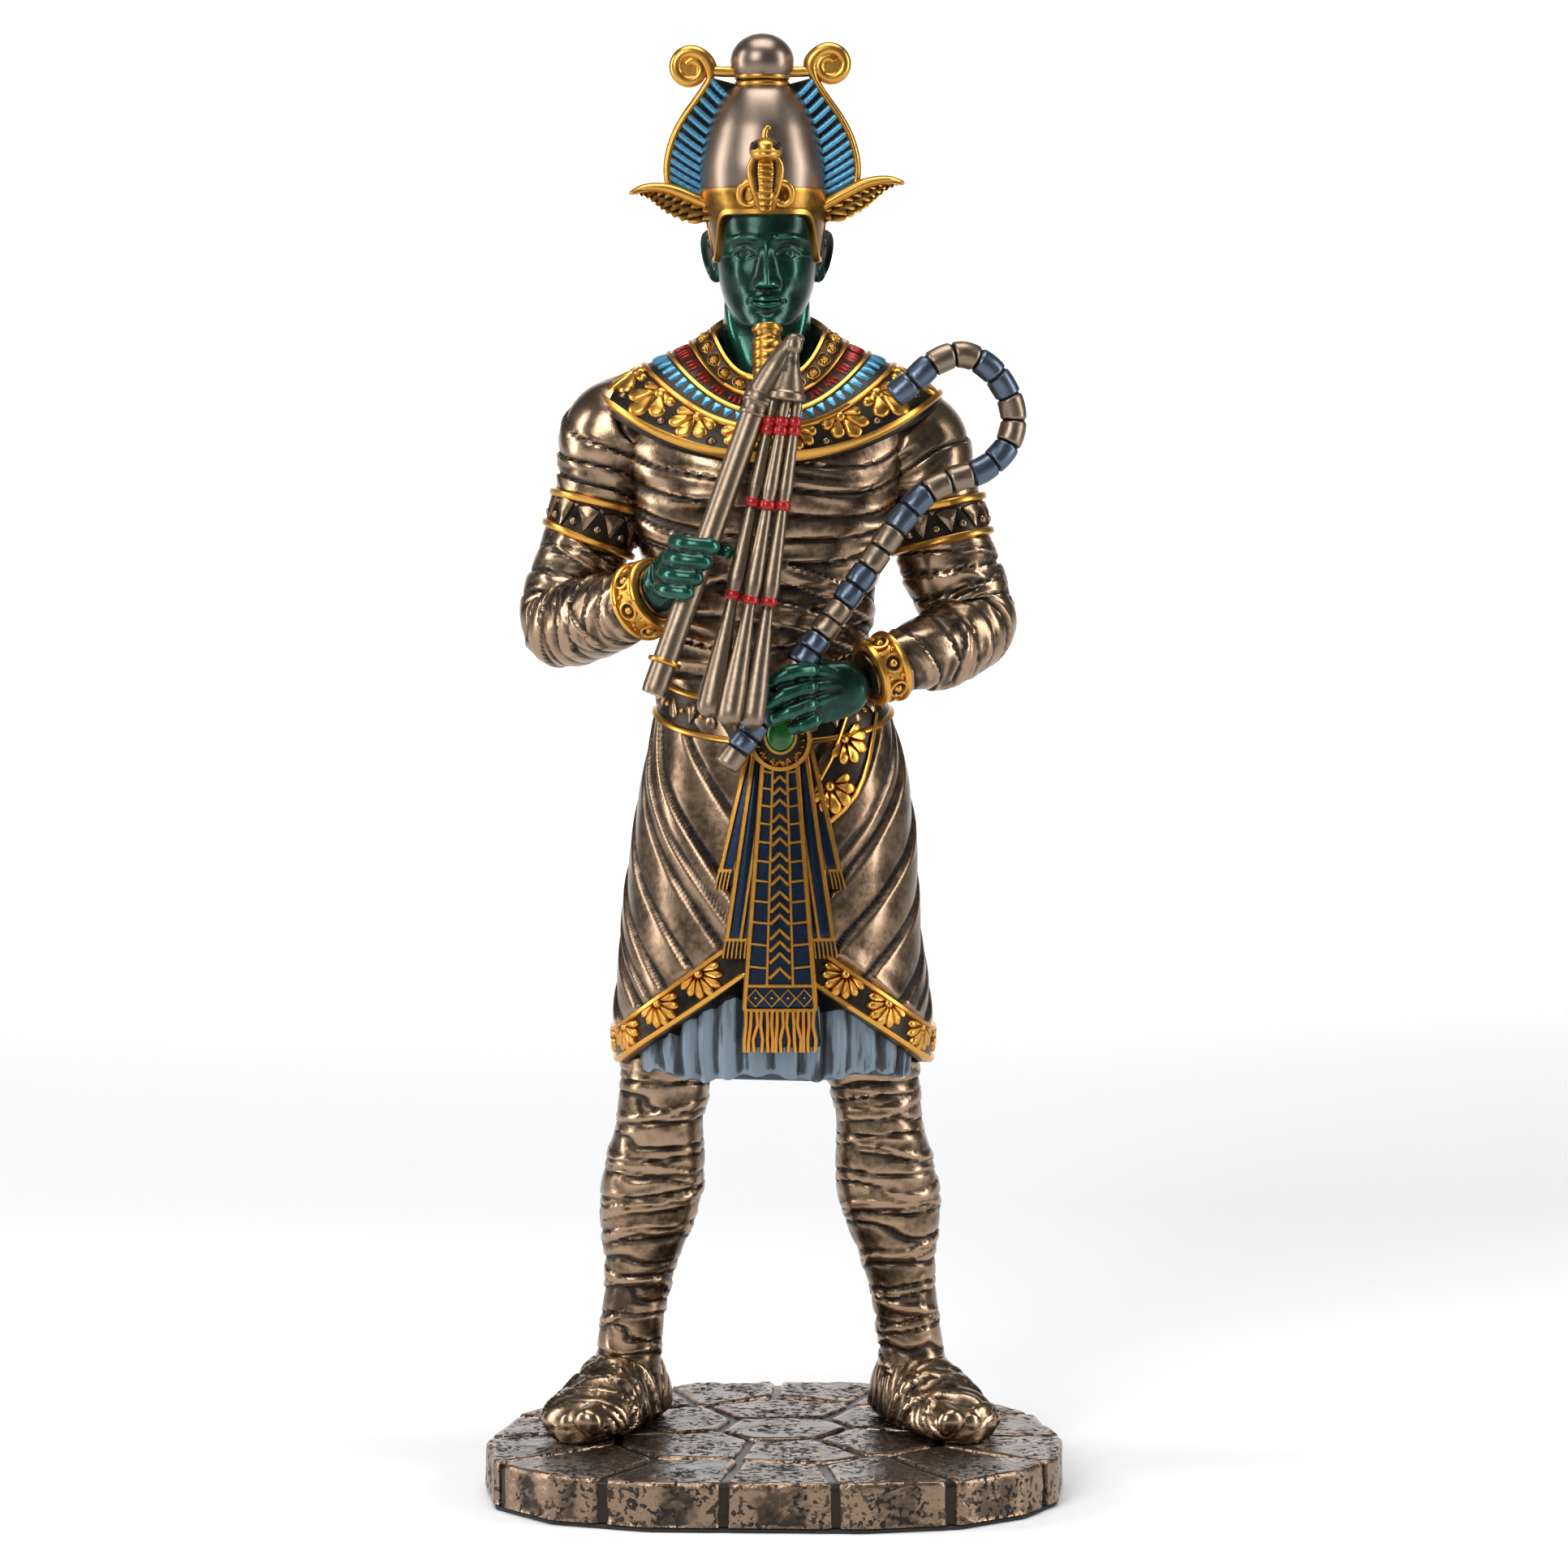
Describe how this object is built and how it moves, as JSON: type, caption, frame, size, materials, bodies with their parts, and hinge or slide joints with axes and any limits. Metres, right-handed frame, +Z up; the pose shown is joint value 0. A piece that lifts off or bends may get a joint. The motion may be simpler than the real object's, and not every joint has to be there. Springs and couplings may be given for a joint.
{
  "type": "osiris figure",
  "caption": "Standing figure of Osiris wrapped in bandages, with a tall feathered crown, holding crook and flail on a paved stone base with a felt pad.",
  "frame": {"origin": "middle of the base's outline, at the underside of the felt pad", "axes": "+Z up to the crown, -Y the way the figure faces, +X towards the hand that holds the crook"},
  "size_m": [0.112, 0.093, 0.2798],
  "materials": {
    "figure": "cold-cast bronze, antiqued, with gold, green, blue and red paint",
    "crook": "antiqued, in turns of blue and bronze segments",
    "flail": "polished, antiqued bronze with red bead rings",
    "base": "cold-cast bronze, antiqued, pitted stones",
    "felt_pad": "matt felt"
  },
  "bodies": {
    "root": {"figure": "figure", "crook": "crook", "flail": "flail", "base": "base", "felt_pad": "felt_pad"}
  },
  "joints": []
}
